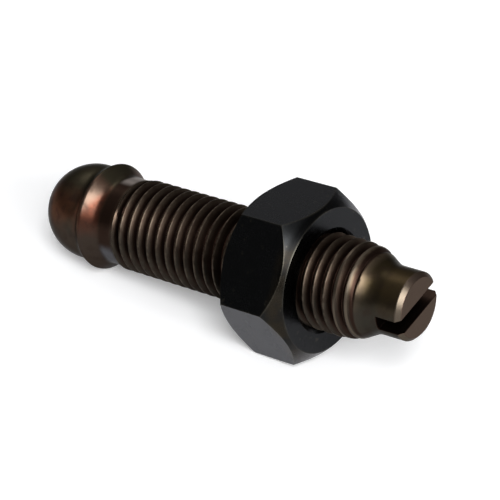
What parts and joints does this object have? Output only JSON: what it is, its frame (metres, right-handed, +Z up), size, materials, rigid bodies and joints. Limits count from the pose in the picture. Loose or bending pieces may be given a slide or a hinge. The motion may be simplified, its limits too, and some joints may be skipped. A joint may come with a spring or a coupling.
{
  "type": "rocker arm adjusting screw",
  "caption": "Ball-ended, slotted adjusting screw with a fine thread and a hexagon lock nut, for setting valve clearance at a rocker arm.",
  "frame": {"origin": "middle of the part's box seen from above, on the surface that it lies on", "axes": "+X along the screw seen from above, from the ball to the slotted tip, +Z up. The screw's own axis rises towards +X by about 6 degrees, because the nut is wider than the collar that the head rests on"},
  "size_m": [0.0378, 0.0148, 0.0133],
  "materials": {
    "bronze_oxide_steel": "satin",
    "black_oxide_steel": "satin"
  },
  "bodies": {
    "screw": {"adjusting_screw": "bronze_oxide_steel"},
    "nut": {"lock_nut": "black_oxide_steel"}
  },
  "joints": [
    {"name": "nut_travel", "type": "slide", "parent": "screw", "child": "nut", "axis": [0.9946, 0, 0.1033], "range_m": [-0.012, 0.005]}
  ]
}
